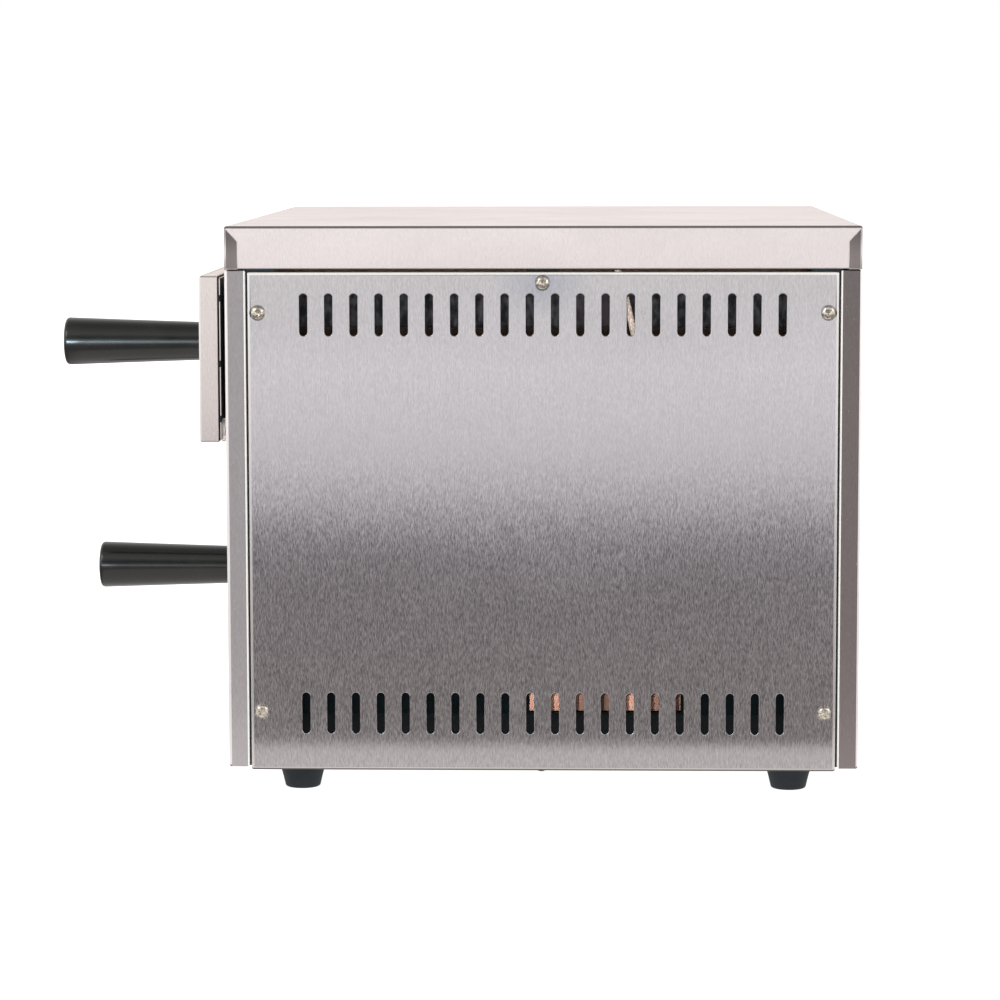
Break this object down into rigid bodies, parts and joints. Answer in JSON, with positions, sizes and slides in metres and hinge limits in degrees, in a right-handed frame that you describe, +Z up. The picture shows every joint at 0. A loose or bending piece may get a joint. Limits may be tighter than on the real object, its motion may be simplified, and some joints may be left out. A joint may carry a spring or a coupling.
{
  "type": "countertop pizza oven",
  "caption": "Stainless countertop pizza oven: stone-floored baking chamber behind a drop-down door, heated drawer below, dial controls, vented sides, stick handles.",
  "frame": {"origin": "on the bench, under the middle of the whole object's box (handles and cable gland included)", "axes": "+X to the oven's right side as it faces its user, +Y to the back, +Z up; the front faces -Y"},
  "size_m": [0.574, 0.6262, 0.4128],
  "materials": {
    "casing": "brushed, fine vertical grain",
    "door_skin": "brushed, warm satin",
    "liner": "mill finish, heat tinted",
    "galvanised": "dull zinc",
    "screws": "nickel plated",
    "bakelite": "gloss black moulded phenolic",
    "rubber": "matt black",
    "wool": "matt fibrous blanket",
    "stone": "matt cordierite",
    "element": "oxidised sheath",
    "knob": "satin black",
    "plastic": "fine satin black",
    "ceramic": "satin off-white",
    "lens": "clear amber",
    "sleeve": "woven glass fibre"
  },
  "bodies": {
    "casing": {"front_frame": "casing", "rear_panel": "casing", "base_pan": "galvanised", "top_cover": "casing", "side_panel_right": "casing", "side_panel_left": "casing", "side_screw_right_1": "screws", "side_screw_left_1": "screws", "side_screw_right_2": "screws", "side_screw_left_2": "screws", "side_screw_right_3": "screws", "side_screw_left_3": "screws", "side_screw_right_4": "screws", "side_screw_left_4": "screws", "side_screw_right_5": "screws", "side_screw_left_5": "screws", "foot_front_right": "rubber", "foot_front_left": "rubber", "foot_rear_right": "rubber", "foot_rear_left": "rubber", "upper_chamber_liner": "liner", "baking_stone": "stone", "upper_roof_element": "element", "upper_floor_element": "element", "chamber_side_insulation": "wool", "chamber_top_insulation": "wool", "deck_insulation": "wool", "bay_partition": "galvanised", "drawer_chamber_liner": "liner", "drawer_element": "element", "drawer_rail_right": "galvanised", "drawer_rail_left": "galvanised", "insulation_tray": "galvanised", "lower_insulation": "wool", "hinge_bracket_right": "screws", "hinge_pin_right": "screws", "hinge_bracket_left": "screws", "hinge_pin_left": "screws", "thermostat_body_upper": "ceramic", "indicator_lamp_upper": "lens", "thermostat_body_lower": "ceramic", "indicator_lamp_lower": "lens", "timer_body": "ceramic", "power_switch_housing": "plastic", "cable_gland": "plastic", "terminal_block": "ceramic", "element_lead": "sleeve"},
    "door": {"door_pan": "door_skin", "door_inner_plate": "liner", "door_insulation": "wool", "door_handle": "bakelite"},
    "drawer": {"drawer_front": "door_skin", "drawer_insulation": "wool", "drawer_back_plate": "liner", "drawer_pan": "liner", "drawer_handle": "bakelite"},
    "upper_thermostat_knob": {"thermostat_knob_upper": "knob"},
    "lower_thermostat_knob": {"thermostat_knob_lower": "knob"},
    "timer_dial": {"timer_knob": "knob"},
    "rocker": {"power_rocker": "plastic"}
  },
  "joints": [
    {"name": "door_hinge", "type": "hinge", "parent": "casing", "child": "door", "pos_m": [0.076, -0.16905, 0.258], "axis": [1, 0, 0], "range_deg": [0, 90]},
    {"name": "drawer_slide", "type": "slide", "parent": "casing", "child": "drawer", "axis": [0, -1, 0], "range_m": [0, 0.25]},
    {"name": "upper_thermostat_turn", "type": "hinge", "parent": "casing", "child": "upper_thermostat_knob", "pos_m": [-0.238, -0.16585, 0.335], "axis": [0, 1, 0], "range_deg": [0, 270]},
    {"name": "lower_thermostat_turn", "type": "hinge", "parent": "casing", "child": "lower_thermostat_knob", "pos_m": [-0.238, -0.16585, 0.262], "axis": [0, 1, 0], "range_deg": [0, 270]},
    {"name": "timer_turn", "type": "hinge", "parent": "casing", "child": "timer_dial", "pos_m": [-0.168, -0.16585, 0.335], "axis": [0, 1, 0], "range_deg": [0, 300]},
    {"name": "rocker_tilt", "type": "hinge", "parent": "casing", "child": "rocker", "pos_m": [-0.168, -0.16635, 0.262], "axis": [-1, 0, 0], "range_deg": [0, 20]}
  ]
}
